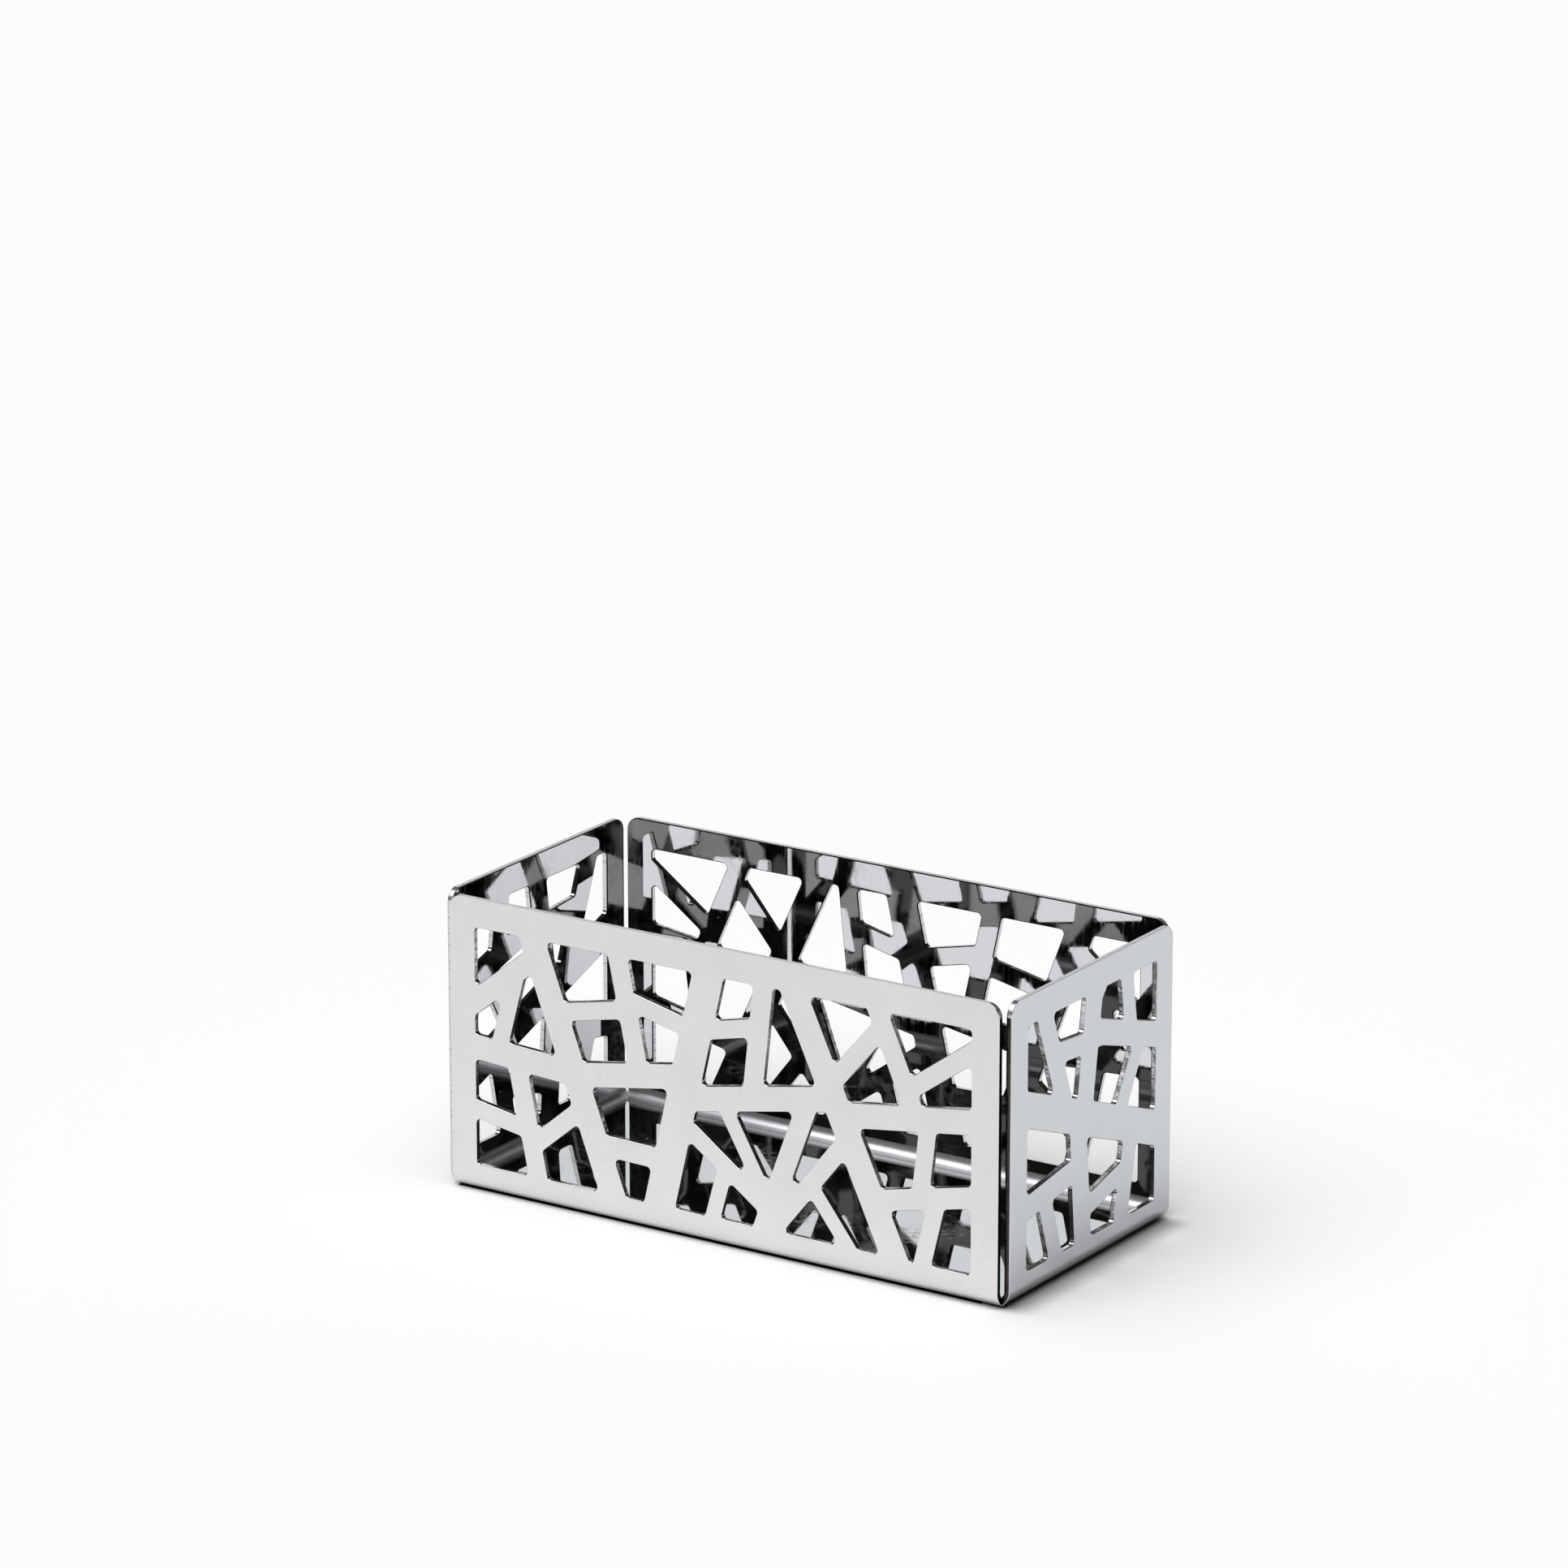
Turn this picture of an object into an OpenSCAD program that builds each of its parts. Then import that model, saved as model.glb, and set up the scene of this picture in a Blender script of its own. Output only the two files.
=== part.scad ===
// Sugar packet holder: one sheet of mirror-polished steel, cut through with a cracked-ice lattice
// and folded up from a cross-shaped blank. The solids are the zones of that blank: the floor,
// four bends and four walls, which meet face to face on the bend lines.
// The origin is the middle of the underside, +X runs along the length and -Y is the front.

/* [Tray] */
// Length over the two end walls
tray_length = 130; // [100:1:180]
// Width over the two long walls
tray_width = 63; // [50:1:90]
// Height from the table to the rim
tray_height = 61; // [45:1:85]

/* [Sheet] */
// Thickness of the steel sheet
sheet = 1.2; // [0.8:0.05:1.5]
// Outside radius of the four bends
bend_radius = 3.5; // [2.5:0.1:5]
// Open slit between the edges of two walls at a corner
corner_slit = 0.5; // [0.3:0.05:1.2]
// Radius of the upper corners of each wall
rim_corner_radius = 2.8; // [1:0.1:5]

/* [Lattice] */
// Solid border beside and above the windows
border = 6; // [4:0.5:9]
// Flat band between a bend and the windows
foot_band = 2.5; // [1:0.5:8]
// Width of the first bar, which runs right across a wall
main_bar_width = 7; // [4:0.1:9]
// Width of the finest bars
fine_bar_width = 3.4; // [2:0.1:4]
// Side of a square as large as the usual window
window_size = 9.5; // [7:0.5:14]
// Radius in the corners of each window
window_corner_radius = 0.9; // [0.3:0.1:1.5]
// Steepest slant of a bar against the edge that it starts from, in degrees
bar_slant = 27; // [10:1:35]
// Number that picks the layout of the long walls
long_wall_layout = 48; // [1:1:99]
// Number that picks the layout of the end walls
end_wall_layout = 59; // [1:1:99]

/* [Hidden] */

// The walls stop this far from the outside corner, so their inner edges stay one slit apart
wall_end_gap = sheet + corner_slit;
long_wall_length = tray_length - 2 * wall_end_gap;
end_wall_length = tray_width - 2 * wall_end_gap;
floor_length = tray_length - 2 * bend_radius;
floor_width = tray_width - 2 * bend_radius;

// Least slant of a bar, and how far a bar wanders from the middle of its pane
bar_slant_least_share = 0.3;
bar_wander_share = 0.09;
// Width of a bar against the wider bar that it branches from
bar_taper_share = 0.86;
// A pane is cracked again while it is larger than the usual window by a factor between these two
pane_area_least_share = 1.4;
pane_area_most_share = 2.1;
// A pane smaller than this share of the usual window stays solid
least_window_share = 0.2;
// An edge shorter than this share of the corner radius is dropped
short_edge_share = 0.5;
// Most of a window edge that the rounding at each of its ends may take
rounded_edge_share = 0.45;
// Turn between two points of a rounded window corner, in degrees
corner_step = 15;
round_fn = 96;
overrun = 1;

function between(low, high, share) = low + (high - low) * share;

// Vectors and convex outlines that run anticlockwise
function turned(way, angle) =
    [way[0] * cos(angle) - way[1] * sin(angle), way[0] * sin(angle) + way[1] * cos(angle)];
function after(outline, i) = outline[(i + 1) % len(outline)];
function edge(outline, i) = after(outline, i) - outline[i];
function total(values, i = 0) = i == len(values) ? 0 : values[i] + total(values, i + 1);
function area(outline) =
    total([for (i = [0:1:len(outline) - 1]) cross(outline[i], after(outline, i)) / 2]);
function middle(outline) =
    [for (axis = [0, 1]) total([for (point = outline) point[axis]]) / len(outline)];
function longest_edge(outline) =
    let (lengths = [for (i = [0:len(outline) - 1]) norm(edge(outline, i))])
    search(max(lengths), lengths)[0];

// The part of an outline on the side of a straight cut that the vector way points to
function cut(outline, at, way) = [
    for (i = [0:1:len(outline) - 1])
        let (
            here = outline[i],
            next = after(outline, i),
            here_side = (here - at) * way,
            next_side = (next - at) * way
        )
        each concat(
            here_side >= 0 ? [here] : [],
            here_side * next_side < 0
                ? [here + (next - here) * here_side / (here_side - next_side)]
                : []
        )
];

// Cracked ice: a slanting bar across the longest side splits a pane in two, with finer bars each
// time, until the panes are small enough to be windows
function cracked(pane, bar, number) =
    let (
        chances = rands(0, 1, 4, number),
        limit = between(pane_area_least_share, pane_area_most_share, chances[0])
    )
    area(pane) < window_size * window_size * limit ? [pane]
    : let (
        side = edge(pane, longest_edge(pane)),
        slant = bar_slant * between(bar_slant_least_share, 1, chances[1]),
        way = turned(side / norm(side), chances[2] < 0.5 ? slant : -slant),
        at = middle(pane) + side * between(-bar_wander_share, bar_wander_share, chances[3]),
        next_bar = max(fine_bar_width, bar * bar_taper_share)
    )
    concat(
        cracked(cut(pane, at + way * bar / 2, way), next_bar, 2 * number),
        cracked(cut(pane, at - way * bar / 2, -way), next_bar, 2 * number + 1)
    );

function without_short_edges(outline, least) =
    [for (i = [0:1:len(outline) - 1]) if (norm(edge(outline, i)) > least) outline[i]];

// Points of the arc that rounds one corner, with the radius limited by the edges beside it
function corner_arc(last, corner, next, radius) =
    let (
        to_last = (last - corner) / norm(last - corner),
        to_next = (next - corner) / norm(next - corner),
        half_angle = acos(to_last * to_next) / 2,
        room = min(norm(last - corner), norm(next - corner)) * rounded_edge_share,
        fitted = min(radius, room * tan(half_angle)),
        inward = (to_last + to_next) / norm(to_last + to_next),
        centre = corner + inward * fitted / sin(half_angle),
        start = corner + to_last * fitted / tan(half_angle) - centre,
        sweep = 180 - 2 * half_angle,
        steps = max(1, ceil(sweep / corner_step))
    )
    [for (k = [0:steps]) centre + turned(start, sweep * k / steps)];
function rounded(outline, radius) = [
    for (i = [0:len(outline) - 1])
        each corner_arc(
            outline[(i + len(outline) - 1) % len(outline)],
            outline[i],
            after(outline, i),
            radius
        )
];

// Outlines of the windows in a wall of this length, measured from its lower left corner
function window_outlines(length, layout) =
    let (
        left = border,
        right = length - border,
        low = bend_radius + foot_band,
        high = tray_height - border,
        field = [[left, low], [right, low], [right, high], [left, high]]
    )
    [
        for (pane = cracked(field, main_bar_width, layout))
            let (window = without_short_edges(pane, window_corner_radius * short_edge_share))
            if (area(window) > window_size * window_size * least_window_share)
                rounded(window, window_corner_radius)
    ];

// Flat outline of a wall above its bend
module wall_outline(length) {
    translate([0, bend_radius]) square([length, tray_height - bend_radius - rim_corner_radius]);
    translate([rim_corner_radius, bend_radius])
        square([length - 2 * rim_corner_radius, tray_height - bend_radius]);
    for (x = [rim_corner_radius, length - rim_corner_radius])
        translate([x, tray_height - rim_corner_radius])
            circle(r = rim_corner_radius, $fn = round_fn);
}

// An upright wall with its outer face on the plane y = 0 and its length along +X
module lattice_wall(length, layout) {
    rotate([90, 0, 0])
        translate([0, 0, -sheet])
            linear_extrude(sheet)
                difference() {
                    wall_outline(length);
                    for (window = window_outlines(length, layout))
                        polygon(window);
                }
}

// Quarter-round bend under a wall, its outer side on y = 0. Its ends are square under the wall
// and mitred towards the floor, where two bends meet
module bend(span) {
    intersection() {
        rotate([90, 0, 90])
            linear_extrude(span)
                difference() {
                    intersection() {
                        translate([bend_radius, bend_radius])
                            circle(r = bend_radius, $fn = round_fn);
                        square(bend_radius);
                    }
                    translate([bend_radius, bend_radius])
                        circle(r = bend_radius - sheet, $fn = round_fn);
                }
        translate([0, 0, -overrun])
            linear_extrude(bend_radius + 2 * overrun)
                polygon([
                    [wall_end_gap, -overrun],
                    [span - wall_end_gap, -overrun],
                    [span - wall_end_gap, wall_end_gap],
                    [span - bend_radius, bend_radius],
                    [bend_radius, bend_radius],
                    [wall_end_gap, wall_end_gap]
                ]);
    }
}

// Puts what is drawn for the front on one of the four sides
module on_front() { translate([-tray_length / 2, -tray_width / 2]) children(); }
module on_rear() { rotate(180) on_front() children(); }
module on_right() { rotate(90) translate([-tray_width / 2, -tray_length / 2]) children(); }
module on_left() { rotate(180) on_right() children(); }
module past_corner() { translate([wall_end_gap, 0]) children(); }

module floor_plate() {
    color("silver")
        translate([-floor_length / 2, -floor_width / 2])
            cube([floor_length, floor_width, sheet]);
}

module front_bend() { color("silver") on_front() bend(tray_length); }
module rear_bend() { color("silver") on_rear() bend(tray_length); }
module left_bend() { color("silver") on_left() bend(tray_width); }
module right_bend() { color("silver") on_right() bend(tray_width); }

module front_wall() {
    color("gainsboro") on_front() past_corner() lattice_wall(long_wall_length, long_wall_layout);
}
module rear_wall() {
    color("gainsboro") on_rear() past_corner() lattice_wall(long_wall_length, long_wall_layout);
}
module left_wall() {
    color("gainsboro") on_left() past_corner() lattice_wall(end_wall_length, end_wall_layout);
}
module right_wall() {
    color("gainsboro") on_right() past_corner() lattice_wall(end_wall_length, end_wall_layout);
}

floor_plate();
front_bend();
rear_bend();
left_bend();
right_bend();
front_wall();
rear_wall();
left_wall();
right_wall();
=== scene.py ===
"""Sugar packet holder: a tray folded from one sheet of mirror-polished steel, with lattice walls.

It stands on a pale table under an overhead softbox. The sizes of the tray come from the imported
frame, and all lengths are in metres.
"""

import math

import bpy
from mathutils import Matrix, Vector
from mathutils.geometry import tessellate_polygon


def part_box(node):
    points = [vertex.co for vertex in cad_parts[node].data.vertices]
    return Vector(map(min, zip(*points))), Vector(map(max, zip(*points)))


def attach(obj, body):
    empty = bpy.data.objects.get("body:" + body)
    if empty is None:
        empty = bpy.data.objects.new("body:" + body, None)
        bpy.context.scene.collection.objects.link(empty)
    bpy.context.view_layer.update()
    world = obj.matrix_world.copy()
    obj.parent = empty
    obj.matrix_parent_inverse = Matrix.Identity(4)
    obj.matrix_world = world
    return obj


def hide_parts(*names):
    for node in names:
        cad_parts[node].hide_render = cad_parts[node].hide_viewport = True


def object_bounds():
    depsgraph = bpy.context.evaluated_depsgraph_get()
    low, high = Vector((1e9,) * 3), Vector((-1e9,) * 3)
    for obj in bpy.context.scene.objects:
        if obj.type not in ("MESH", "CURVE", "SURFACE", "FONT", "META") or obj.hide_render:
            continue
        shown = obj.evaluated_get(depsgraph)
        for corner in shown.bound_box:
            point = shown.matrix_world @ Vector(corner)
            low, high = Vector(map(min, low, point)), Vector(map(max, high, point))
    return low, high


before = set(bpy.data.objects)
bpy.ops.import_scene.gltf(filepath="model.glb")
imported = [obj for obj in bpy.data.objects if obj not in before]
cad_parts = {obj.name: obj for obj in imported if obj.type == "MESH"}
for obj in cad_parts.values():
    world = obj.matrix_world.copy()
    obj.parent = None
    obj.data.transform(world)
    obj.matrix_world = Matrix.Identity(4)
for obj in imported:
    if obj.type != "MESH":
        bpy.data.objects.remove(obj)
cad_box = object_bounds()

# Sizes of the folded sheet, from the frame
TRAY_LOW, TRAY_HIGH = cad_box
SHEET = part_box("floor_plate")[1].z
BEND_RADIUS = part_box("front_wall")[0].z
WALL_END_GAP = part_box("front_wall")[0].x - TRAY_LOW.x

# Outer and inner radius of the edges of the sheet, rounded by polishing. The level edges of the
# windows are rounded more than the upright ones, and the rim most on its inner side
LEVEL_EDGE = (0.00022, 0.00020)
UPRIGHT_EDGE = (0.00008, 0.00020)
RIM_EDGE = (0.00008, 0.00024)
END_EDGE = (0.00026, 0.00013)
# Steps of each rounding of an edge, and of a bend
EDGE_STEPS = 4
BEND_STEPS = 30
# Points of the frame's meshes are matched on a grid this fine, and are on a bend line if they are
# this close to it
WELD = 1e-6
BEND_LINE_REACH = 10 * WELD

# The floor is very slightly dished, as a sheet is after folding. Its slopes are measured over a
# small part of a column
FLOOR_COLUMNS = 64
FLOOR_ROWS = 32
FLOOR_DISH = 0.00004
FLOOR_RIPPLE = 0.000006
FLOOR_RIPPLE_LENGTH = 0.031
SLOPES_PER_COLUMN = 10

# Camera, at the photograph's viewing angle
CAMERA_AZIMUTH = math.radians(33.256)
CAMERA_ELEVATION = math.radians(16.752)
CAMERA_DISTANCE = 1.4782
CAMERA_AIM = Vector((-0.01222, 0.01024, 0.08122))
SENSOR_WIDTH_MM = 36.0
FOCAL_LENGTH_IN_IMAGE_WIDTHS = 4.8166
CAMERA_CLIP_START = 0.05

# Studio: a white table, a white sweep behind it on the left, an overhead softbox and a dark room.
# The softbox runs from left to right and from near to far at a height of one over the tray
TABLE_SIDE = 16.0
TABLE_DROP = 0.00002
TABLE_COLOUR = (0.965, 0.965, 0.965)
TABLE_PATCH_SHADE = 0.997
TABLE_PATCHES_PER_METRE = 9.0
TABLE_ROUGHNESS = 0.9
SOFTBOX_STRENGTH = 2.94
SOFTBOX_LEFT, SOFTBOX_RIGHT = -0.85, 0.65
SOFTBOX_NEAR, SOFTBOX_FAR = -1.3, 0.2
SOFTBOX_FADE = 0.25
# The mirrors see the softbox end nearer, so the floor keeps its tone when it is seen from above
MIRRORED_SOFTBOX_FAR = 0.0
# The softbox is placed by dividing by the rise of a way, which is taken to be no less than this
LEAST_RISE = 0.01
HORIZON_WHITE_TOP = math.sin(math.radians(3))
HORIZON_FADE_TOP = math.sin(math.radians(7))
SWEEP_WHITE_TOP = math.sin(math.radians(24))
SWEEP_FADE_TOP = math.sin(math.radians(30))
SWEEP_DEPTH_START, SWEEP_DEPTH_END = 0.4, 0.55
SWEEP_RIGHT_START, SWEEP_RIGHT_END = 0.1, 0.35
ROOM_COLOUR = (0.0130, 0.0122, 0.0100, 1.0)
# What is left of the white when it is seen in a second mirror, and again in each one after that
FURTHER_MIRROR_SHARE = 0.48
PLAIN_WHITE = (1.0, 1.0, 1.0, 1.0)
WARM_WHITE = (1.0, 0.97, 0.92, 1.0)
# Painted shadow on the table: it is painted dark under the tray, from this far inside the walls,
# and on the right further in, where a painted soft shadow greys it from outside the wall instead
PAINTED_SHADOW_COLOUR = (0.02, 0.02, 0.02, 1.0)
UNDER_START, UNDER_END = 0.0014, 0.0021
UNDER_RIGHT_SHIFT = 0.0045
BESIDE_START, BESIDE_END = -0.0065, 0.0030
BESIDE_FRONT_START, BESIDE_FRONT_END = -0.0010, 0.0040
PAINTED_SIDE_SHADOW_SHARE = 0.72

# Colours of the finishes
FRONT_STEEL = (0.741, 0.748, 0.762, 1.0)
# The ends' steel is a darker copy of the long sides', as painted shade
PAINTED_SHADE_END_STEEL = (0.620, 0.638, 0.662, 1.0)
INNER_STEEL = (0.655, 0.668, 0.692, 1.0)
FLOOR_STEEL = (0.605, 0.630, 0.645, 1.0)
CUT_STEEL = (0.620, 0.625, 0.640, 1.0)
RIM_STEEL = (0.655, 0.668, 0.686, 1.0)
# Near-black painted shade at the two darkened corner slits
PAINTED_SLIT_SHADE_STEEL = (0.050, 0.046, 0.042, 1.0)
SCALE_STEEL = (0.012, 0.011, 0.010, 1.0)
GRAZING_TINT = (0.85, 0.85, 0.85, 1.0)
DUST_COLOUR = (0.62, 0.61, 0.59, 1.0)
# Painted shade: the end walls' inner faces and the end folds are darker copies of the inner steel
PAINTED_INNER_END_SHADE = 0.9
PAINTED_END_FOLD_SHADE = 0.75

# Relief of the polish and of the cut edges. Its sizes are in metres, and its heights in micrometres
MICROMETRE = 1e-6
WAVE_SIZE = 0.014
WAVE_HEIGHT = 9.0
LINE_SIZE = 0.0006
CUT_WAVE_SIZE = 0.0013
CUT_WAVE_HEIGHT = 40.0
CUT_LINE_SIZE = 0.00035
CUT_LINE_HEIGHT = 8.0
# The lines of a finish are drawn out along the axis that is shortened here. The rim's aren't
LINES_UP_WALL = (1.0, 1.0, 0.06)
LINES_ALONG_FLOOR = (0.06, 1.0, 1.0)
LINES_ALONG_LONG_FOLD = (0.02, 1.0, 1.0)
LINES_ALONG_END_FOLD = (1.0, 0.02, 1.0)
LINES_OF_RIM = (1.0, 1.0, 1.0)
SCORES_ACROSS_LONG_CUT = (1.0, 0.04, 1.0)
SCORES_ACROSS_END_CUT = (0.04, 1.0, 1.0)
SCORES_UP_DARK_CUT = (1.0, 1.0, 0.1)
# A line darkens or blurs the steel more and more while its mask goes from the first of these to
# the second
LINE_SHADE_SPAN = (0.52, 0.68)
LINE_BLUR_SPAN = (0.4, 0.7)
SCORE_SHADE_SPAN = (0.54, 0.66)
SCORE_BLUR_SPAN = (0.35, 0.65)
# Roughness between the lines and in them, and the share of the colour that is left in them
POLISH_BLUR = (0.015, 0.05)
SCORE_BLUR = (0.08, 0.20)
RIM_BLUR = (0.26, 0.36)
FOLD_BLUR = (0.36, 0.44)
SCORE_SHADE = 0.5
FOLD_LINE_SHADE = 0.85

# Marks of handling: smudges are patches broken up by a grain, and dust is one speck in each cell.
# The sizes of specks are shares of their spacing
SMUDGE_SIZE = 0.021
SMUDGE_SHADE = 0.8
SMUDGE_BLUR = 0.16
SMUDGE_PATCH_SPAN = (0.52, 0.74)
SMUDGE_GRAIN_SPAN = (0.38, 0.66)
GRAINS_PER_SMUDGE = 14.0
DUST_SPACING = 0.0037
DUST_BLUR = 0.6
LARGEST_SPECK = 0.09
SPECK_EDGE = 0.012
# Clouds in the colour, and the painted shade that darkens the foot of a wall
CLOUD_SIZE = 0.011
CLOUD_SPAN = (0.25, 0.75)
FOOT_START, FOOT_END = 0.002, 0.013

# Faces of a piece by their finish, in the order of its materials
OUTER, CUT, INNER, PAINTED_SLIT_SHADE, RIM, SCALE = range(6)
# Finishes of the rows of faces round an edge, from the outer face to the inner face. The outer
# rounding is polished with the outer face, the flat keeps the marks of cutting, and the inner
# rounding keeps the dark scale of the cut. The rim is ground satin, but for the last rows of its
# inner rounding. At two opposite corner slits, all but the outermost rows are painted near black,
# as painted shade in the slit
EDGE_ROWS = 2 * EDGE_STEPS + 1
LONG_RIM_SCALE_ROWS = 3
END_RIM_SCALE_ROWS = 1
UNPAINTED_SLIT_SHADE_ROWS = 3
ROW_FINISHES = [OUTER] * EDGE_STEPS + [CUT] + [SCALE] * EDGE_STEPS
LONG_RIM_FINISHES = [RIM] * (EDGE_ROWS - LONG_RIM_SCALE_ROWS) + [SCALE] * LONG_RIM_SCALE_ROWS
END_RIM_FINISHES = [RIM] * (EDGE_ROWS - END_RIM_SCALE_ROWS) + [SCALE] * END_RIM_SCALE_ROWS
PAINTED_SLIT_SHADE_FINISHES = [OUTER] * UNPAINTED_SLIT_SHADE_ROWS + [PAINTED_SLIT_SHADE] * (EDGE_ROWS - UNPAINTED_SLIT_SHADE_ROWS)


class Side:
    """One side of the tray, with its own axes: along its length, up, and in through the sheet. Seen
    from outside, its end at one of two opposite corner slits is painted near black, as painted
    shade."""

    def __init__(self, corner_x, corner_y, along, painted_slit_shade_end):
        self.corner = Vector((corner_x, corner_y, 0))
        self.along = Vector(along)
        self.up = Vector((0, 0, 1))
        self.inward = self.up.cross(self.along)
        self.length = abs((TRAY_HIGH - TRAY_LOW).dot(self.along))
        self.right_finishes = PAINTED_SLIT_SHADE_FINISHES if painted_slit_shade_end == "right" else ROW_FINISHES
        self.left_finishes = PAINTED_SLIT_SHADE_FINISHES if painted_slit_shade_end == "left" else ROW_FINISHES

    def way(self, along, up, inward):
        return self.along * along + self.up * up + self.inward * inward

    def place(self, along, up, inward):
        return self.corner + self.way(along, up, inward)

    def measured(self, point):
        arm = point - self.corner
        return arm.dot(self.along), arm.dot(self.up), arm.dot(self.inward)


FRONT = Side(TRAY_LOW.x, TRAY_LOW.y, (1, 0, 0), "right")
RIGHT = Side(TRAY_HIGH.x, TRAY_LOW.y, (0, 1, 0), "left")
REAR = Side(TRAY_HIGH.x, TRAY_HIGH.y, (-1, 0, 0), "right")
LEFT = Side(TRAY_LOW.x, TRAY_HIGH.y, (0, -1, 0), "left")


def vector_sum(vectors):
    return sum(vectors, Vector((0, 0, 0)))


class SheetPiece:
    """Points, faces, finishes and exact corner normals of one zone of the sheet."""

    def __init__(self):
        self.points = []
        self.faces = []
        self.normals = []
        self.finishes = []

    def point(self, place):
        self.points.append(place)
        return len(self.points) - 1

    def looks(self, corners):
        """The way that a face looks, as long as twice its area."""
        first = self.points[corners[0]]
        return vector_sum(
            (self.points[here] - first).cross(self.points[after] - first)
            for here, after in zip(corners[1:], corners[2:])
        )

    def add(self, corners, normals, finish):
        self.faces.append(corners)
        self.normals.append(normals)
        self.finishes.append(finish)

    def face(self, corners, normal, finish):
        """Adds a flat face, turned to look the way of its normal."""
        way = -1 if self.looks(corners).dot(normal) < 0 else 1
        self.add(corners[::way], [normal] * len(corners), finish)

    def strip(self, row, next_row, finish):
        """Quads between two rows of (point, normal) pairs, turned together the way they look."""
        quads = [tuple(zip(*quad)) for quad in zip(row, row[1:], next_row[1:], next_row)]
        agreement = sum(
            self.looks(corners).dot(vector_sum(normals)) for corners, normals in quads
        )
        way = -1 if agreement < 0 else 1
        for corners, normals in quads:
            self.add(corners[::way], normals[::way], finish)

    def flat_face(self, outlines, normal, finish):
        """A flat face with holes: its outline comes first, and the holes after it."""
        loops = [[self.points[point] for point in outline] for outline in outlines]
        corners = [point for outline in outlines for point in outline]
        triangles = [[corners[k] for k in triangle] for triangle in tessellate_polygon(loops)]
        agreement = vector_sum(self.looks(triangle) for triangle in triangles).dot(normal)
        way = -1 if agreement < 0 else 1
        for triangle in triangles:
            self.add(triangle[::way], [normal] * 3, finish)

    def build(self, name, finishes):
        mesh = bpy.data.meshes.new(name)
        mesh.from_pydata(self.points, [], self.faces)
        for finish in finishes:
            mesh.materials.append(finish)
        mesh.polygons.foreach_set("material_index", self.finishes)
        mesh.polygons.foreach_set("use_smooth", [True] * len(self.faces))
        corner_normals = [normal.normalized() for normals in self.normals for normal in normals]
        mesh.normals_split_custom_set(corner_normals)
        piece = bpy.data.objects.new(name, mesh)
        bpy.context.scene.collection.objects.link(piece)
        return piece


def edge_profile(outer_radius, inner_radius):
    """Rows round the edge of the sheet, from the outer face to the inner face. Each row is
    (inset from the edge, depth in the sheet, share of the normal sideways, share inward)."""
    turns = [math.pi / 2 * step / EDGE_STEPS for step in range(EDGE_STEPS + 1)]
    rows = []
    for turn in turns:
        inset = outer_radius * (1 - math.sin(turn))
        depth = outer_radius * (1 - math.cos(turn))
        rows.append((inset, depth, math.sin(turn), -math.cos(turn)))
    for turn in turns:
        inset = inner_radius * (1 - math.cos(turn))
        depth = SHEET - inner_radius * (1 - math.sin(turn))
        rows.append((inset, depth, math.cos(turn), math.sin(turn)))
    return rows


def signed_area(outline):
    pairs = zip(outline, outline[1:] + outline[:1])
    return sum(a[0] * b[1] - b[0] * a[1] for a, b in pairs) / 2


def face_outlines(node, side):
    """Outlines of the outer face of a wall with the metal on their left, the rim's first."""
    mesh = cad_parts[node].data
    places = [side.measured(vertex.co) for vertex in mesh.vertices]
    keys = [(round(along / WELD), round(up / WELD)) for along, up, inward in places]
    edges = set()
    for polygon in mesh.polygons:
        corners = list(polygon.vertices)
        if any(places[corner][2] > SHEET / 2 for corner in corners):
            continue
        for here, after in zip(corners, corners[1:] + corners[:1]):
            if (keys[after], keys[here]) in edges:
                edges.remove((keys[after], keys[here]))
            else:
                edges.add((keys[here], keys[after]))
    following = dict(edges)
    outlines = []
    while following:
        start = min(following)
        outline = [start]
        while following[outline[-1]] != start:
            outline.append(following.pop(outline[-1]))
        following.pop(outline[-1])
        outlines.append([Vector((along * WELD, up * WELD)) for along, up in outline])
    return sorted(outlines, key=signed_area, reverse=True)


def opened_at_bend(rim):
    """The rim outline as an open run, from the right end of the bend line round to the left."""
    on_line = [k for k, point in enumerate(rim) if abs(point.y - BEND_RADIUS) < BEND_LINE_REACH]
    right_end = max(on_line, key=lambda k: rim[k].x)
    left_end = min(on_line, key=lambda k: rim[k].x)
    turned = rim[right_end:] + rim[:right_end]
    return turned[: (left_end - right_end) % len(rim) + 1]


def outward_ways(run, closed):
    """For each point of a run: the normal out of the metal, and the offset of a mitred corner."""
    count = len(run)
    segments = [run[(k + 1) % count] - run[k] for k in range(count if closed else count - 1)]
    ways = []
    for k in range(count):
        before = segments[k - 1] if closed or k > 0 else segments[0]
        after = segments[k] if closed or k < count - 1 else segments[-1]
        out_before = Vector((before.y, -before.x)).normalized()
        out_after = Vector((after.y, -after.x)).normalized()
        normal = (out_before * before.length + out_after * after.length).normalized()
        mitre = (out_before + out_after) / (1 + out_before.dot(out_after))
        ways.append((normal, mitre))
    return ways


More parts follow.
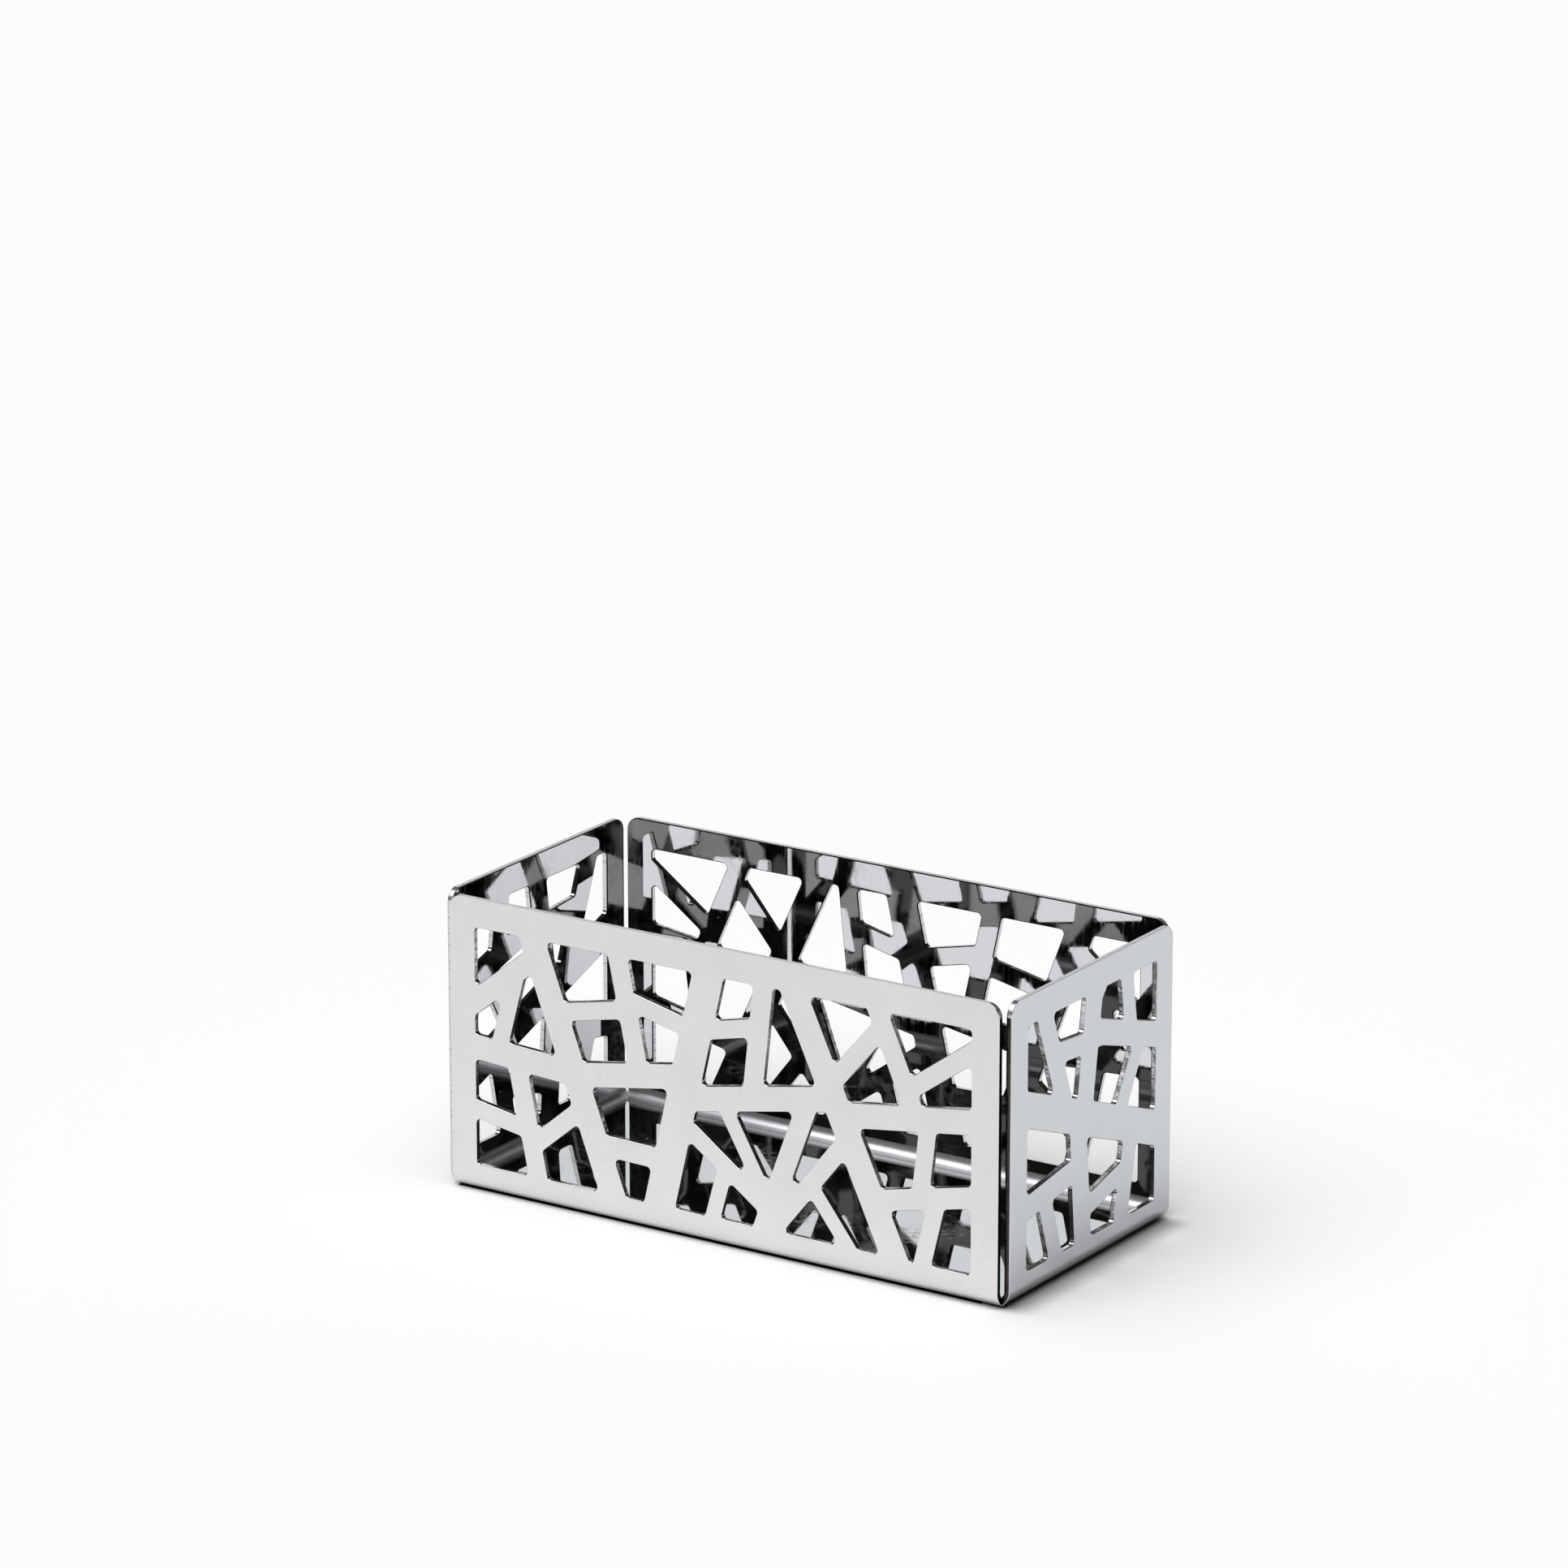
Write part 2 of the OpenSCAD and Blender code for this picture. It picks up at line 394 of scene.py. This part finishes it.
def round_edge(piece, side, run, closed, level_edge, upright_edge, finishes):
    """Rounds the edge along a run, and gives back its rows of (point, normal) pairs. The radii
    go from one pair to the other as the edge turns from level to upright."""
    rows = [[] for row in finishes + [INNER]]
    for point, (normal, mitre) in zip(run, outward_ways(run, closed)):
        radii = [
            level + (upright - level) * normal.x ** 2
            for level, upright in zip(level_edge, upright_edge)
        ]
        for row, (inset, depth, sideways, inward) in zip(rows, edge_profile(*radii)):
            at = point - mitre * inset
            place = side.place(at.x, at.y, depth)
            looks = side.way(normal.x * sideways, normal.y * sideways, inward)
            row.append((piece.point(place), looks))
    for k, (row, next_row) in enumerate(zip(rows, rows[1:])):
        if closed:
            piece.strip(row + row[:1], next_row + next_row[:1], finishes[k])
        else:
            piece.strip(row[:2], next_row[:2], side.right_finishes[k])
            piece.strip(row[1:-1], next_row[1:-1], finishes[k])
            piece.strip(row[-2:], next_row[-2:], side.left_finishes[k])
    return rows


def lattice_wall(node, side, rim_finishes, finishes):
    """A flat wall with rounded edges at its rim, its ends and every window."""
    piece = SheetPiece()
    rim, *windows = face_outlines(node, side)
    rim_rows = round_edge(
        piece, side, opened_at_bend(rim), False, RIM_EDGE, END_EDGE, rim_finishes
    )
    edge_rows = [rim_rows] + [
        round_edge(piece, side, window, True, LEVEL_EDGE, UPRIGHT_EDGE, ROW_FINISHES)
        for window in windows
    ]
    outer_outlines = [[point for point, normal in rows[0]] for rows in edge_rows]
    inner_outlines = [[point for point, normal in rows[-1]] for rows in edge_rows]
    piece.flat_face(outer_outlines, -side.inward, OUTER)
    piece.flat_face(inner_outlines, side.inward, INNER)
    right_end = [row[0][0] for row in rim_rows]
    left_end = [row[-1][0] for row in rim_rows]
    piece.face(right_end + left_end[::-1], -side.up, CUT)
    return piece.build(node + "_polished", finishes)


def bend(node, side, finishes):
    """A quarter-round bend. Its ends are rounded where the corner slit is open, and close to
    a mitre towards the floor."""
    piece = SheetPiece()
    inner_radius = BEND_RADIUS - SHEET
    profile = edge_profile(*END_EDGE)
    left_rows = [[] for row in profile]
    right_rows = [[] for row in profile]
    for step in range(BEND_STEPS + 1):
        turn = math.pi / 2 * step / BEND_STEPS
        inner_depth = BEND_RADIUS - inner_radius * math.cos(turn)
        slit_share = max(0, WALL_END_GAP - inner_depth) / (WALL_END_GAP - SHEET)
        for k, (inset, depth, sideways, inward) in enumerate(profile):
            radius = BEND_RADIUS - depth
            level = BEND_RADIUS - radius * math.cos(turn)
            height = BEND_RADIUS - radius * math.sin(turn)
            end = max(WALL_END_GAP, level) + inset * slit_share
            left = piece.point(side.place(end, height, level))
            right = piece.point(side.place(side.length - end, height, level))
            rise, reach = inward * math.sin(turn), inward * math.cos(turn)
            left_rows[k].append((left, side.way(-sideways, rise, reach)))
            right_rows[k].append((right, side.way(sideways, rise, reach)))
    ends = ((left_rows, side.left_finishes), (right_rows, side.right_finishes))
    for rows, row_finishes in ends:
        for row, next_row, finish in zip(rows, rows[1:], row_finishes):
            piece.strip(row, next_row, finish)
    piece.strip(left_rows[0], right_rows[0], OUTER)
    piece.strip(left_rows[-1], right_rows[-1], INNER)
    for step, looks in ((0, side.up), (-1, side.inward)):
        left_end = [row[step][0] for row in left_rows]
        right_end = [row[step][0] for row in right_rows]
        piece.face(left_end + right_end[::-1], looks, CUT)
    return piece.build(node + "_polished", finishes)


def floor_level(x, y, low, high):
    """Height of the floor's upper face: level at the bends, and faintly dished and rippled."""
    across = (x - low.x) / (high.x - low.x)
    deep = (y - low.y) / (high.y - low.y)
    middle_share = (math.sin(math.pi * across) * math.sin(math.pi * deep)) ** 2
    ripple = math.sin(math.tau * x / FLOOR_RIPPLE_LENGTH)
    ripple *= math.cos(math.tau * y / FLOOR_RIPPLE_LENGTH)
    return SHEET - middle_share * (FLOOR_DISH + FLOOR_RIPPLE * ripple)


def floor_plate(node, finishes):
    """The floor between the four bends, with a fine grid on its upper face to carry the dish."""
    piece = SheetPiece()
    low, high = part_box(node)
    near = (high.x - low.x) / FLOOR_COLUMNS / SLOPES_PER_COLUMN

    def level(x, y):
        return floor_level(x, y, low, high)

    grid = []
    for j in range(FLOOR_ROWS + 1):
        row = []
        for i in range(FLOOR_COLUMNS + 1):
            x = low.x + (high.x - low.x) * i / FLOOR_COLUMNS
            y = low.y + (high.y - low.y) * j / FLOOR_ROWS
            slope_x = (level(x + near, y) - level(x - near, y)) / near / 2
            slope_y = (level(x, y + near) - level(x, y - near)) / near / 2
            point = piece.point(Vector((x, y, level(x, y))))
            row.append((point, Vector((-slope_x, -slope_y, 1))))
        grid.append(row)
    for row, next_row in zip(grid, grid[1:]):
        piece.strip(row, next_row, INNER)
    under = [
        piece.point(Vector((x, y, 0)))
        for x, y in ((low.x, low.y), (high.x, low.y), (high.x, high.y), (low.x, high.y))
    ]
    piece.face(under, Vector((0, 0, -1)), OUTER)
    borders = (
        ([point for point, normal in grid[0]], (0, -1, 0), under[1], under[0]),
        ([row[-1][0] for row in grid], (1, 0, 0), under[2], under[1]),
        ([point for point, normal in grid[-1]], (0, 1, 0), under[2], under[3]),
        ([row[0][0] for row in grid], (-1, 0, 0), under[3], under[0]),
    )
    for upper, looks, last, first in borders:
        piece.face(upper + [last, first], Vector(looks), CUT)
    return piece.build(node + "_polished", finishes)


# The colour sockets of a Mix node share their names with its other sockets, so they go by number
MIX_FIRST_COLOUR, MIX_SECOND_COLOUR = 6, 7
MIX_COLOUR = 2


class Wiring:
    """Adds shader nodes to a tree, one call for each node, and links what they are given."""

    def __init__(self, tree):
        self.tree = tree
        self.tree.nodes.clear()

    def give(self, made, inputs):
        for name, value in inputs.items():
            if isinstance(value, bpy.types.NodeSocket):
                self.tree.links.new(value, made.inputs[name])
            else:
                made.inputs[name].default_value = value

    def node(self, kind, inputs, **settings):
        made = self.tree.nodes.new(kind)
        for name, value in settings.items():
            setattr(made, name, value)
        self.give(made, inputs)
        return made

    def math(self, operation, *values, clamp=False):
        inputs = dict(enumerate(values))
        return self.node("ShaderNodeMath", inputs, operation=operation, use_clamp=clamp).outputs[0]

    def product(self, first, *others):
        for other in others:
            first = self.math("MULTIPLY", first, other)
        return first

    def axes(self, vector):
        return self.node("ShaderNodeSeparateXYZ", {"Vector": vector}).outputs

    def fade(self, value, start, end, start_value=0.0, end_value=1.0, smooth=True):
        """Goes from start_value to end_value while value goes from start to end."""
        kind = "SMOOTHSTEP" if smooth else "LINEAR"
        span = {"Value": value, "From Min": start, "From Max": end}
        values = {"To Min": start_value, "To Max": end_value}
        made = self.node("ShaderNodeMapRange", span | values, interpolation_type=kind)
        return made.outputs["Result"]

    def noise(self, place, scale, detail=2.0, roughness=0.5):
        inputs = {"Vector": place, "Scale": scale, "Detail": detail, "Roughness": roughness}
        return self.node("ShaderNodeTexNoise", inputs).outputs["Fac"]

    def mixed_colour(self, share, first, second):
        inputs = {"Factor": share, MIX_FIRST_COLOUR: first, MIX_SECOND_COLOUR: second}
        made = self.node("ShaderNodeMix", inputs, data_type="RGBA")
        return made.outputs[MIX_COLOUR]


def new_group(name, inputs, outputs):
    """An empty shader node group with named sockets, and the wiring inside it."""
    group = bpy.data.node_groups.new(name, "ShaderNodeTree")
    for label, kind, default in inputs:
        socket = group.interface.new_socket(label, in_out="INPUT", socket_type=kind)
        if default is not None:
            socket.default_value = default
    for label, kind in outputs:
        group.interface.new_socket(label, in_out="OUTPUT", socket_type=kind)
    wiring = Wiring(group)
    given = group.nodes.new("NodeGroupInput").outputs
    return group, wiring, given


def handling_marks_group():
    """Wiped smudges and settled dust, as masks."""
    group, wiring, given = new_group(
        "handling_marks",
        [
            ("Place", "NodeSocketVector", None),
            ("Smudge Size", "NodeSocketFloat", 0.02),
            ("Smudge Amount", "NodeSocketFloat", 0.5),
            ("Dust Spacing", "NodeSocketFloat", 0.004),
            ("Dust Amount", "NodeSocketFloat", 0.5),
        ],
        [("Smudge", "NodeSocketFloat"), ("Dust", "NodeSocketFloat")],
    )
    smudge_scale = wiring.math("DIVIDE", 1.0, given["Smudge Size"])
    patches = wiring.noise(given["Place"], smudge_scale, detail=3.0)
    grain_scale = wiring.math("MULTIPLY", smudge_scale, GRAINS_PER_SMUDGE)
    grain = wiring.noise(given["Place"], grain_scale, detail=4.0, roughness=0.65)
    patch_mask = wiring.fade(patches, *SMUDGE_PATCH_SPAN)
    grain_mask = wiring.fade(grain, *SMUDGE_GRAIN_SPAN)
    smudge = wiring.math("MULTIPLY", patch_mask, grain_mask)
    smudge = wiring.math("MULTIPLY", smudge, given["Smudge Amount"], clamp=True)
    dust_scale = wiring.math("DIVIDE", 1.0, given["Dust Spacing"])
    cells = wiring.node("ShaderNodeTexVoronoi", {"Vector": given["Place"], "Scale": dust_scale})
    chance = wiring.node("ShaderNodeSeparateColor", {"Color": cells.outputs["Color"]})
    largest = wiring.math("MULTIPLY", given["Dust Amount"], LARGEST_SPECK)
    size = wiring.product(chance.outputs["Red"], chance.outputs["Red"], largest)
    inside = wiring.math("SUBTRACT", size, cells.outputs["Distance"])
    dust = wiring.fade(inside, 0.0, SPECK_EDGE)
    wiring.node("NodeGroupOutput", {"Smudge": smudge, "Dust": dust})
    return group


def polish_relief_group():
    """Relief of a polished sheet: a long waviness, and fine lines left by the polishing wheel."""
    group, wiring, given = new_group(
        "polish_relief",
        [
            ("Place", "NodeSocketVector", None),
            ("Line Stretch", "NodeSocketVector", (1.0, 1.0, 0.1)),
            ("Wave Size", "NodeSocketFloat", 0.02),
            ("Wave Height", "NodeSocketFloat", 1.0),
            ("Line Size", "NodeSocketFloat", 0.0006),
            ("Line Height", "NodeSocketFloat", 0.1),
        ],
        [("Relief", "NodeSocketFloat"), ("Lines", "NodeSocketFloat")],
    )
    wave_scale = wiring.math("DIVIDE", 1.0, given["Wave Size"])
    wave = wiring.noise(given["Place"], wave_scale, detail=1.0, roughness=0.3)
    drawn = wiring.node(
        "ShaderNodeVectorMath", {0: given["Place"], 1: given["Line Stretch"]}, operation="MULTIPLY"
    ).outputs["Vector"]
    line_scale = wiring.math("DIVIDE", 1.0, given["Line Size"])
    lines = wiring.noise(drawn, line_scale, detail=3.0, roughness=0.6)
    wave_height = wiring.math("MULTIPLY", wave, given["Wave Height"])
    line_height = wiring.math("MULTIPLY", lines, given["Line Height"])
    relief = wiring.math("ADD", wave_height, line_height)
    wiring.node("NodeGroupOutput", {"Relief": relief, "Lines": lines})
    return group


HANDLING_MARKS = handling_marks_group()
POLISH_RELIEF = polish_relief_group()


def shaded(colour, share):
    return tuple(channel * share for channel in colour[:3]) + (1.0,)


def new_finish(name):
    """A material with its shader and the place on the sheet, ready to be wired."""
    material = bpy.data.materials.new(name)
    material.use_nodes = True
    wiring = Wiring(material.node_tree)
    place = wiring.node("ShaderNodeTexCoord", {}).outputs["Object"]
    shader = wiring.node("ShaderNodeBsdfPrincipled", {})
    wiring.node("ShaderNodeOutputMaterial", {"Surface": shader.outputs["BSDF"]})
    return material, wiring, place, shader


def relief_of_sheet(wiring, inputs):
    """The mask of the lines of the polish relief, and the normal that its bump gives."""
    relief = wiring.node("ShaderNodeGroup", inputs, node_tree=POLISH_RELIEF).outputs
    bump = wiring.node(
        "ShaderNodeBump", {"Height": relief["Relief"], "Strength": 1.0, "Distance": MICROMETRE}
    )
    return relief["Lines"], bump.outputs["Normal"]


def mirror_polish(
    name, colour, line_stretch, line_height=0.1, smudge=0.3, dust=0.5, line_blur=POLISH_BLUR,
    line_shade=1.0, painted_rim_shade=1.0, painted_foot_shade=1.0, cloud=0.0, film=0.0,
):
    """Mirror-polished steel with faint lines drawn out along the axes that line_stretch shortens.
    The colour is darkened towards the rim and at the foot as painted shade, and clouded by the
    given share. Film is how far a smudge hides the metal."""
    material, wiring, place, shader = new_finish(name)
    height = wiring.axes(place)["Z"]
    clouds = wiring.noise(place, 1 / CLOUD_SIZE, detail=3.0)
    # Painted shade: darker towards the rim and at the foot, times the clouds
    tone = wiring.product(
        wiring.fade(height, 0.0, TRAY_HIGH.z, 1.0, painted_rim_shade, smooth=False),
        wiring.fade(height, FOOT_START, FOOT_END, painted_foot_shade, 1.0),
        wiring.fade(clouds, *CLOUD_SPAN, 1.0 - cloud, 1.0 + cloud, smooth=False),
    )
    marks = wiring.node("ShaderNodeGroup", {
        "Place": place,
        "Smudge Size": SMUDGE_SIZE,
        "Smudge Amount": smudge,
        "Dust Spacing": DUST_SPACING,
        "Dust Amount": dust,
    }, node_tree=HANDLING_MARKS).outputs
    lines, normal = relief_of_sheet(wiring, {
        "Place": place,
        "Line Stretch": line_stretch,
        "Wave Size": WAVE_SIZE,
        "Wave Height": WAVE_HEIGHT,
        "Line Size": LINE_SIZE,
        "Line Height": line_height,
    })
    lined = wiring.fade(lines, *LINE_SHADE_SPAN)
    steel = wiring.mixed_colour(lined, colour, shaded(colour, line_shade))
    steel = wiring.mixed_colour(marks["Smudge"], steel, shaded(colour, SMUDGE_SHADE))
    steel = wiring.node(
        "ShaderNodeVectorMath", {0: steel, "Scale": tone}, operation="SCALE"
    ).outputs["Vector"]
    steel = wiring.mixed_colour(marks["Dust"], steel, DUST_COLOUR)
    blur = wiring.fade(lines, *LINE_BLUR_SPAN, *line_blur)
    blur = wiring.math("MULTIPLY_ADD", marks["Smudge"], SMUDGE_BLUR, blur)
    blur = wiring.math("MULTIPLY_ADD", marks["Dust"], DUST_BLUR, blur)
    metallic = wiring.math("SUBTRACT", 1.0, marks["Dust"])
    metallic = wiring.math("MULTIPLY_ADD", marks["Smudge"], -film, metallic, clamp=True)
    wiring.give(shader, {
        "Base Color": steel,
        "Roughness": blur,
        "Metallic": metallic,
        "Specular Tint": GRAZING_TINT,
        "Normal": normal,
    })
    return material


def cut_edge(name, colour, line_stretch):
    """The cut edge of the sheet: uneven along the cut, and scored dark across it."""
    material, wiring, place, shader = new_finish(name)
    lines, normal = relief_of_sheet(wiring, {
        "Place": place,
        "Line Stretch": line_stretch,
        "Wave Size": CUT_WAVE_SIZE,
        "Wave Height": CUT_WAVE_HEIGHT,
        "Line Size": CUT_LINE_SIZE,
        "Line Height": CUT_LINE_HEIGHT,
    })
    scored = wiring.fade(lines, *SCORE_SHADE_SPAN)
    wiring.give(shader, {
        "Base Color": wiring.mixed_colour(scored, colour, shaded(colour, SCORE_SHADE)),
        "Roughness": wiring.fade(lines, *SCORE_BLUR_SPAN, *SCORE_BLUR),
        "Metallic": 1.0,
        "Specular Tint": GRAZING_TINT,
        "Normal": normal,
    })
    return material


def table_finish():
    """Matt white table top with the faintest unevenness, and a painted shadow under the tray and by
    its right wall.
    """
    material, wiring, place, shader = new_finish("pale_table")
    parts = wiring.axes(place)
    right = wiring.math("SUBTRACT", TRAY_HIGH.x, parts["X"])
    ends = wiring.math("SUBTRACT", TRAY_HIGH.x, wiring.math("ABSOLUTE", parts["X"]))
    sides = wiring.math("SUBTRACT", TRAY_HIGH.y, wiring.math("ABSOLUTE", parts["Y"]))
    ends = wiring.math("MINIMUM", ends, wiring.math("SUBTRACT", right, UNDER_RIGHT_SHIFT))
    # Painted shadow: dark under the tray, and a soft grey shadow by its right wall
    under = wiring.fade(wiring.math("MINIMUM", ends, sides), UNDER_START, UNDER_END)
    painted_side_shadow = wiring.product(
        wiring.fade(right, BESIDE_START, BESIDE_END),
        wiring.fade(sides, BESIDE_FRONT_START, BESIDE_FRONT_END),
        wiring.fade(parts["X"], 0.0, TRAY_HIGH.x, 0.0, PAINTED_SIDE_SHADOW_SHARE),
    )
    painted_shadow = wiring.math("MAXIMUM", under, painted_side_shadow)
    patches = wiring.noise(place, TABLE_PATCHES_PER_METRE)
    colour = wiring.mixed_colour(
        patches, shaded(TABLE_COLOUR, TABLE_PATCH_SHADE), shaded(TABLE_COLOUR, 1.0)
    )
    wiring.give(shader, {
        "Base Color": wiring.mixed_colour(painted_shadow, colour, PAINTED_SHADOW_COLOUR),
        "Roughness": TABLE_ROUGHNESS,
        "Specular IOR Level": 0.0,
    })
    return material


def lay_table():
    half = TABLE_SIDE / 2
    outline = ((-half, -half), (half, -half), (half, half), (-half, half))
    corners = [(x, y, -TABLE_DROP) for x, y in outline]
    mesh = bpy.data.meshes.new("pale_table")
    mesh.from_pydata(corners, [], [(0, 1, 2, 3)])
    mesh.materials.append(table_finish())
    table = bpy.data.objects.new("pale_table", mesh)
    bpy.context.scene.collection.objects.link(table)


def softbox_share(wiring, parts, mirrored):
    """How much of the overhead softbox shines along a way out of the scene."""
    height = wiring.math("MAXIMUM", parts["Z"], LEAST_RISE)
    across = wiring.math("DIVIDE", parts["X"], height)
    deep = wiring.math("DIVIDE", parts["Y"], height)

    def faded_at(edge, place, *values):
        return wiring.fade(place, edge - SOFTBOX_FADE, edge + SOFTBOX_FADE, *values)

    seen = wiring.math(
        "MAXIMUM",
        faded_at(MIRRORED_SOFTBOX_FAR, deep, 1.0, 0.0),
        wiring.math("SUBTRACT", 1.0, mirrored),
    )
    return wiring.product(
        wiring.fade(parts["Z"], HORIZON_FADE_TOP, SWEEP_FADE_TOP),
        faded_at(SOFTBOX_LEFT, across),
        faded_at(SOFTBOX_RIGHT, across, 1.0, 0.0),
        faded_at(SOFTBOX_NEAR, deep),
        faded_at(SOFTBOX_FAR, deep, 1.0, 0.0),
        seen,
    )


def light_studio():
    """The studio: a softbox lights it from above, and a white sweep from behind on the left. The
    camera sees plain white all round, and the steel sees white along the horizon and a dark room
    over it. The white fades with each further mirror that shows it."""
    world = bpy.data.worlds.new("studio")
    world.use_nodes = True
    wiring = Wiring(world.node_tree)
    parts = wiring.axes(wiring.node("ShaderNodeTexCoord", {}).outputs["Generated"])
    path = wiring.node("ShaderNodeLightPath", {}).outputs
    # The table doesn't see the horizon in the steel, so the tray throws no bright patches on it
    off_table = wiring.math("MINIMUM", path["Diffuse Depth"], 1.0)
    horizon = wiring.product(
        wiring.fade(parts["Z"], HORIZON_WHITE_TOP, HORIZON_FADE_TOP, 1.0, 0.0),
        path["Is Glossy Ray"],
        wiring.math("SUBTRACT", 1.0, off_table),
    )
    sweep = wiring.product(
        wiring.fade(parts["Z"], SWEEP_WHITE_TOP, SWEEP_FADE_TOP, 1.0, 0.0),
        wiring.fade(parts["Y"], SWEEP_DEPTH_START, SWEEP_DEPTH_END),
        wiring.fade(parts["X"], SWEEP_RIGHT_START, SWEEP_RIGHT_END, 1.0, 0.0),
    )
    white = wiring.math("MAXIMUM", horizon, sweep)
    white = wiring.math("MAXIMUM", white, path["Is Camera Ray"])
    softbox = softbox_share(wiring, parts, path["Is Glossy Ray"])
    further = wiring.math("SUBTRACT", path["Glossy Depth"], 1.0)
    further = wiring.math("MAXIMUM", further, 0.0)
    strength = wiring.product(
        wiring.math("MULTIPLY_ADD", softbox, SOFTBOX_STRENGTH, white),
        wiring.math("POWER", FURTHER_MIRROR_SHARE, further),
    )
    colour = wiring.mixed_colour(wiring.math("MINIMUM", further, 1.0), PLAIN_WHITE, WARM_WHITE)
    lit = wiring.node("ShaderNodeBackground", {"Color": colour, "Strength": strength})
    room = wiring.node("ShaderNodeBackground", {"Color": ROOM_COLOUR, "Strength": 1.0})
    both = wiring.node(
        "ShaderNodeAddShader", {0: lit.outputs["Background"], 1: room.outputs["Background"]}
    )
    wiring.node("ShaderNodeOutputWorld", {"Surface": both.outputs["Shader"]})
    bpy.context.scene.world = world


def place_camera():
    lens = bpy.data.cameras.new("photo_camera")
    lens.sensor_width = SENSOR_WIDTH_MM
    lens.lens = SENSOR_WIDTH_MM * FOCAL_LENGTH_IN_IMAGE_WIDTHS
    lens.clip_start = CAMERA_CLIP_START
    lens.clip_end = TABLE_SIDE * 2
    camera = bpy.data.objects.new("photo_camera", lens)
    back = Vector((
        math.sin(CAMERA_AZIMUTH) * math.cos(CAMERA_ELEVATION),
        -math.cos(CAMERA_AZIMUTH) * math.cos(CAMERA_ELEVATION),
        math.sin(CAMERA_ELEVATION),
    ))
    camera.location = CAMERA_AIM + back * CAMERA_DISTANCE
    camera.rotation_mode = "QUATERNION"
    camera.rotation_quaternion = (-back).to_track_quat("-Z", "Y")
    bpy.context.scene.collection.objects.link(camera)
    bpy.context.scene.camera = camera


def fit(piece, node):
    """Puts a piece in the place of its node, on the tray's one body."""
    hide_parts(node)
    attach(piece, "root")


place_camera()
lay_table()
light_studio()

cut_of_long_side = cut_edge("cut_edge_of_long_side", CUT_STEEL, SCORES_ACROSS_LONG_CUT)
cut_of_end = cut_edge("cut_edge_of_end", CUT_STEEL, SCORES_ACROSS_END_CUT)
# Painted shade: the near-black edge of the two darkened corner slits
painted_slit_shade_cut = cut_edge("painted_slit_shade_cut_edge", PAINTED_SLIT_SHADE_STEEL, SCORES_UP_DARK_CUT)
cut_scale = cut_edge("scale_of_cut_edge", SCALE_STEEL, SCORES_UP_DARK_CUT)
rim_polish = mirror_polish("polish_of_rim", RIM_STEEL, LINES_OF_RIM, line_blur=RIM_BLUR)
# Painted shade darkens the long sides' outer polish towards the rim
front_polish = mirror_polish(
    "polish_of_long_side", FRONT_STEEL, LINES_UP_WALL, painted_rim_shade=0.94, cloud=0.035
)
# Painted shade: the ends' darker steel, darker still towards the rim and at the foot
end_polish = mirror_polish(
    "polish_of_end", PAINTED_SHADE_END_STEEL, LINES_UP_WALL, painted_rim_shade=0.98, painted_foot_shade=0.82, cloud=0.02
)
inner_polish = mirror_polish(
    "polish_inside", INNER_STEEL, LINES_UP_WALL, line_height=0.3, smudge=0.6, film=0.12
)
# The darker colour of the end walls' inside is painted shade
inner_end_polish = mirror_polish(
    "polish_inside_end", shaded(INNER_STEEL, PAINTED_INNER_END_SHADE), LINES_UP_WALL, line_height=0.3,
    smudge=0.9, cloud=0.05, film=0.2,
)
floor_polish = mirror_polish(
    "polish_of_floor", FLOOR_STEEL, LINES_ALONG_FLOOR, line_height=0.2, smudge=0.9, dust=0.9,
    film=0.3,
)
long_fold_polish = mirror_polish(
    "polish_in_long_fold", INNER_STEEL, LINES_ALONG_LONG_FOLD, line_height=0.2, dust=0.8,
    line_blur=FOLD_BLUR, line_shade=FOLD_LINE_SHADE,
)
# The darker colour of the end folds is painted shade
end_fold_polish = mirror_polish(
    "polish_in_end_fold", shaded(INNER_STEEL, PAINTED_END_FOLD_SHADE), LINES_ALONG_END_FOLD,
    line_height=0.2, dust=0.9, line_blur=FOLD_BLUR, line_shade=FOLD_LINE_SHADE, smudge=0.9,
    film=0.3,
)

edge_finishes = [painted_slit_shade_cut, rim_polish, cut_scale]
fit(floor_plate("floor_plate", [front_polish, cut_of_long_side, floor_polish]), "floor_plate")
for name, side in (("front", FRONT), ("rear", REAR)):
    fold_finishes = [front_polish, cut_of_long_side, long_fold_polish] + edge_finishes
    fit(bend(name + "_bend", side, fold_finishes), name + "_bend")
    wall_finishes = [front_polish, cut_of_long_side, inner_polish] + edge_finishes
    fit(lattice_wall(name + "_wall", side, LONG_RIM_FINISHES, wall_finishes), name + "_wall")
for name, side in (("left", LEFT), ("right", RIGHT)):
    fold_finishes = [end_polish, cut_of_end, end_fold_polish] + edge_finishes
    fit(bend(name + "_bend", side, fold_finishes), name + "_bend")
    wall_finishes = [end_polish, cut_of_end, inner_end_polish] + edge_finishes
    fit(lattice_wall(name + "_wall", side, END_RIM_FINISHES, wall_finishes), name + "_wall")

bpy.context.scene.view_settings.view_transform = "Standard"
